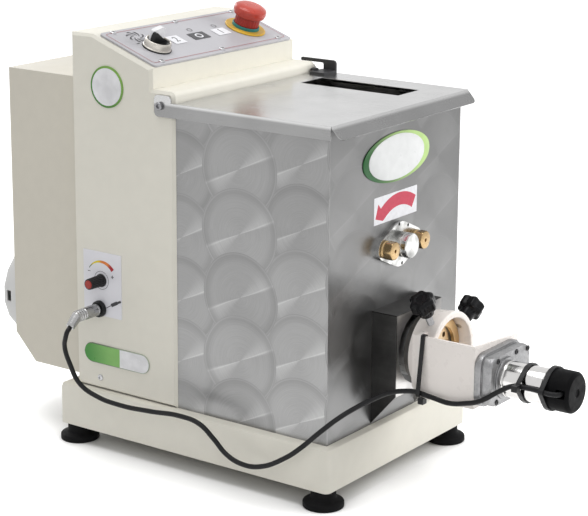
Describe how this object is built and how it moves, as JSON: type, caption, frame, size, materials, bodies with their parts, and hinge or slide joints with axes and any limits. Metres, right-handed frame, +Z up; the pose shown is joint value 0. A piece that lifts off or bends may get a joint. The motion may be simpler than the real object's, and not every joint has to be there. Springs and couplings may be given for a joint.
{
  "type": "electric pasta maker",
  "caption": "Bench-top electric pasta maker: a lidded mixing tank over a screw extruder, with a motorised cutter on the outlet and a drive tower with a sloping console.",
  "frame": {"origin": "middle of the footprint of all pieces but the cutter cable and its plug, on the plane that the feet rest on", "axes": "+Z up; -Y towards the operator, the outlet and the cutter; +Y towards the motor; +X to the operator's right"},
  "size_m": [0.3133, 0.663, 0.4583],
  "materials": {
    "cream": "smooth cream powder coat",
    "rubber": "moulded black rubber",
    "steel": "machined steel",
    "motorGrey": "grey enamel",
    "blackPlastic": "moulded black plastic",
    "stainless": "stainless steel sheet with engine-turned circles",
    "polished": "polished chrome",
    "brass": "bright brass",
    "zinc": "cast light alloy",
    "bronze": "turned bronze",
    "blackPaint": "black enamel",
    "white": "gloss white enamel",
    "consoleGrey": "light grey printed panel",
    "nickel": "satin nickel",
    "yellow": "yellow plastic",
    "red": "glossy red plastic",
    "labelWhite": "off-white printed label plate"
  },
  "bodies": {
    "machine": {"base_tray": "cream", "tower_housing": "cream", "rear_cover": "cream", "foot_front_left": "rubber", "foot_front_right": "rubber", "foot_rear_left": "rubber", "foot_rear_right": "rubber", "cutter_cable": "rubber", "gear_plate_front": "steel", "gear_plate_rear": "steel", "drive_motor": "motorGrey", "fan_cowl": "motorGrey", "mains_gland": "blackPlastic", "control_board": "blackPlastic", "interlock_switch": "blackPlastic", "cutter_motor_cap": "blackPlastic", "tie_bracket": "blackPlastic", "tie_motor_can": "blackPlastic", "tie_motor_cap": "blackPlastic", "selector_switch": "blackPlastic", "stop_collar": "blackPlastic", "stop_switch": "blackPlastic", "speed_potentiometer": "blackPlastic", "cable_socket": "blackPlastic", "tank_casing": "stainless", "mixing_trough": "stainless", "outlet_guard": "stainless", "mixer_bearing_flange": "polished", "cutter_motor_can": "polished", "cable_plug": "polished", "extruder_barrel": "zinc", "hinge_screw_right": "zinc", "hinge_screw_left": "zinc", "cutter_gearbox": "zinc", "pasta_die": "bronze", "ring_nut": "bronze", "cutter_collar": "white", "cutter_bracket": "white", "console_panel": "consoleGrey", "selector_bezel": "nickel", "stop_legend_ring": "yellow", "speed_plate": "labelWhite"},
    "lid": {"lid": "stainless", "interlock_bracket": "blackPaint"},
    "auger": {"auger_screw": "stainless", "auger_gear": "steel"},
    "mixer": {"mixer_shaft": "stainless", "mixer_gear": "steel"},
    "compound": {"compound_gear": "steel"},
    "rotor": {"motor_pinion": "steel", "cooling_fan": "blackPlastic"},
    "knife": {"cutter_knife": "stainless"},
    "selector": {"selector_knob": "blackPlastic"},
    "stop_plunger": {"stop_plunger": "red"},
    "stop_head": {"stop_head": "red"},
    "speed": {"speed_knob": "blackPlastic"},
    "clamp_left": {"clamp_knob_left": "blackPlastic"},
    "clamp_right": {"clamp_knob_right": "blackPlastic"},
    "nut_left": {"hand_nut_left": "brass"},
    "nut_right": {"hand_nut_right": "brass"}
  },
  "joints": [
    {"name": "lid_hinge", "type": "hinge", "parent": "machine", "child": "lid", "pos_m": [0.0043, 0.085, 0.379], "axis": [-1, 0, 0], "range_deg": [0, 90]},
    {"name": "auger_spin", "type": "hinge", "parent": "machine", "child": "auger", "pos_m": [0.0043, -0.0305, 0.142], "axis": [0, 1, 0], "continuous": true},
    {"name": "mixer_spin", "type": "hinge", "parent": "machine", "child": "mixer", "pos_m": [0.0043, -0.0305, 0.244], "axis": [0, 1, 0], "continuous": true},
    {"name": "compound_spin", "type": "hinge", "parent": "machine", "child": "compound", "pos_m": [-0.06222, 0.0995, 0.19651], "axis": [0, 1, 0], "continuous": true},
    {"name": "rotor_spin", "type": "hinge", "parent": "machine", "child": "rotor", "pos_m": [-0.0467, 0.1895, 0.137], "axis": [0, 1, 0], "continuous": true},
    {"name": "knife_spin", "type": "hinge", "parent": "machine", "child": "knife", "pos_m": [0.0043, -0.1905, 0.142], "axis": [0, 1, 0], "continuous": true},
    {"name": "selector_turn", "type": "hinge", "parent": "machine", "child": "selector", "pos_m": [-0.0735, 0.12822, 0.42504], "axis": [0, -0.3314, 0.9435], "range_deg": [-60, 60]},
    {"name": "stop_press", "type": "slide", "parent": "machine", "child": "stop_plunger", "axis": [0, 0.3314, -0.9435], "range_m": [0, 0.004]},
    {"name": "stop_twist", "type": "hinge", "parent": "stop_plunger", "child": "stop_head", "pos_m": [0.0828, 0.13388, 0.42703], "axis": [0, 0.3314, -0.9435], "range_deg": [0, 30], "stiffness_Nm_per_rad": 0.02},
    {"name": "speed_turn", "type": "hinge", "parent": "machine", "child": "speed", "pos_m": [-0.1287, 0.168, 0.1845], "axis": [-1, 0, 0], "range_deg": [-150, 150]},
    {"name": "clamp_left_turn", "type": "hinge", "parent": "machine", "child": "clamp_left", "pos_m": [-0.02925, -0.1735, 0.19174], "axis": [-0.5592, 0, 0.829], "range_deg": [0, 720]},
    {"name": "clamp_right_turn", "type": "hinge", "parent": "machine", "child": "clamp_right", "pos_m": [0.05573, -0.1735, 0.1729], "axis": [0.8572, 0, 0.515], "range_deg": [0, 720]},
    {"name": "nut_left_turn", "type": "hinge", "parent": "machine", "child": "nut_left", "pos_m": [-0.0237, -0.1295, 0.244], "axis": [0, -1, 0], "range_deg": [0, 720]},
    {"name": "nut_right_turn", "type": "hinge", "parent": "machine", "child": "nut_right", "pos_m": [0.0323, -0.1295, 0.244], "axis": [0, -1, 0], "range_deg": [0, 720]}
  ],
  "couplings": [
    {"joint": "mixer_spin", "follows": "auger_spin", "ratio": -1.6842},
    {"joint": "compound_spin", "follows": "auger_spin", "ratio": -2.9091},
    {"joint": "rotor_spin", "follows": "auger_spin", "ratio": 9.0182}
  ]
}
